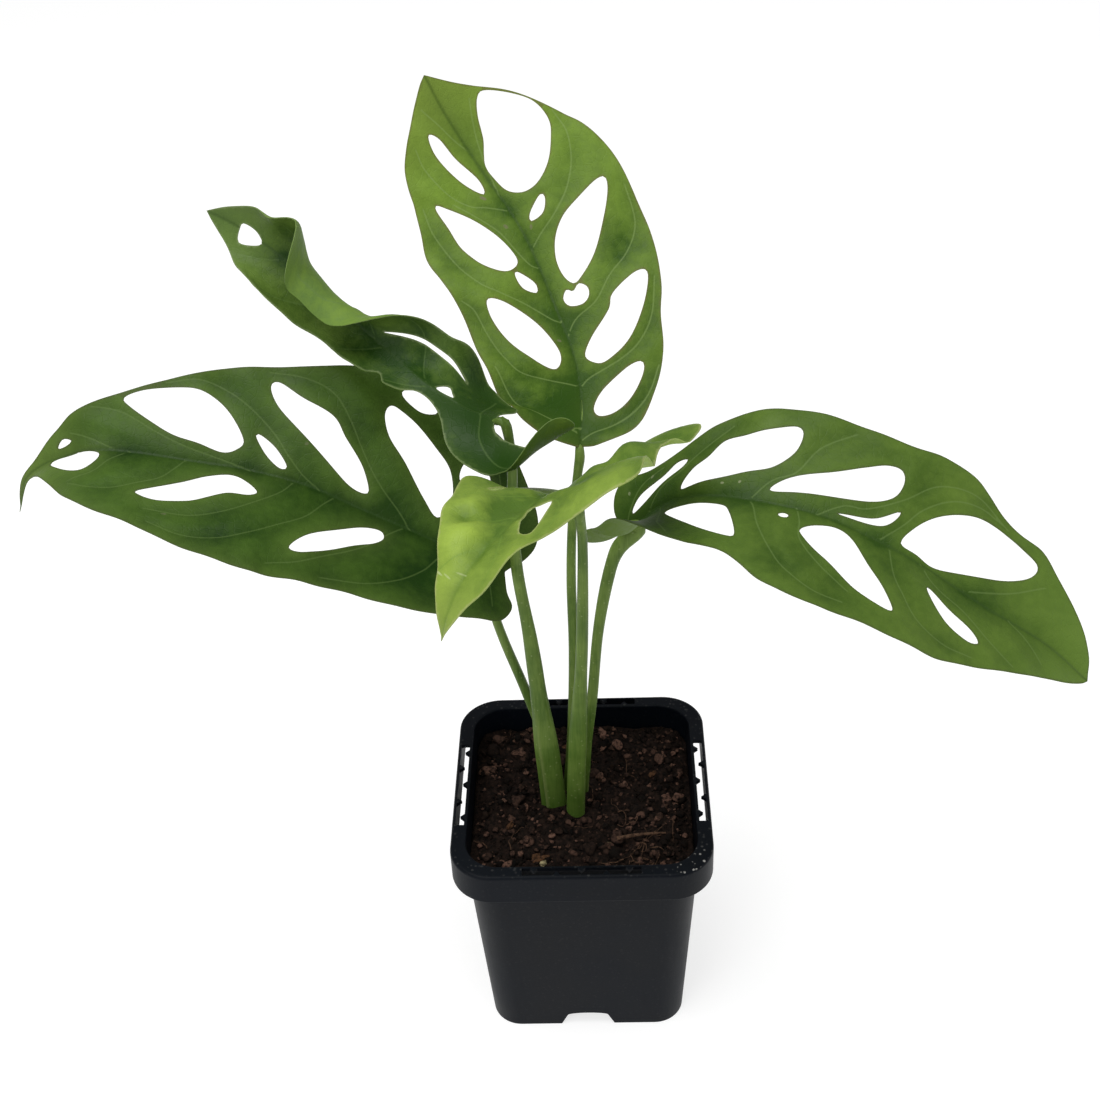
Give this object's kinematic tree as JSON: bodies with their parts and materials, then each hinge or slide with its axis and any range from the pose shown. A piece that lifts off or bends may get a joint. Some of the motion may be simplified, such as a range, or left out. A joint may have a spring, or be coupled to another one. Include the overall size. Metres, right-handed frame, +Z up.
{
  "type": "monstera adansonii in a square nursery pot",
  "caption": "Young Swiss cheese vine with holed, pointed leaves on slender upright stalks, standing in potting mix in a square black nursery pot with a deep slotted rim.",
  "frame": {"origin": "on the ground under the middle of the square pot, in the plane of its foot", "axes": "+Z up; the pictured side faces -Y; +X to the right in the picture, along the longest spread of the leaves"},
  "size_m": [0.3194, 0.1826, 0.292],
  "materials": {
    "pot": "thin black moulded polypropylene with a soft satin sheen and a little dust",
    "soil": "dark damp peat and bark mix with crumbs, bark chips and fibres",
    "crown_leaf": "satin leaf surface with fine pale side veins, paler and duller underneath",
    "right_leaf": "satin leaf surface with fine pale side veins, paler and duller underneath",
    "left_leaf": "satin leaf surface with fine pale side veins, paler and duller underneath",
    "front_leaf": "satin leaf surface with fine pale side veins, paler and duller underneath",
    "folded_leaf": "satin leaf surface with fine pale side veins, paler and duller underneath",
    "stalk": "smooth satin green, with thin sheath wings low down"
  },
  "bodies": {
    "root": {"pot": "pot", "potting_soil": "soil", "crown_leaf_blade": "crown_leaf", "right_leaf_blade": "right_leaf", "left_leaf_blade": "left_leaf", "front_leaf_blade": "front_leaf", "folded_leaf_blade": "folded_leaf", "crown_leaf_stalk": "stalk", "right_leaf_stalk": "stalk", "left_leaf_stalk": "stalk", "front_leaf_stalk": "stalk", "folded_leaf_stalk": "stalk"}
  },
  "joints": []
}
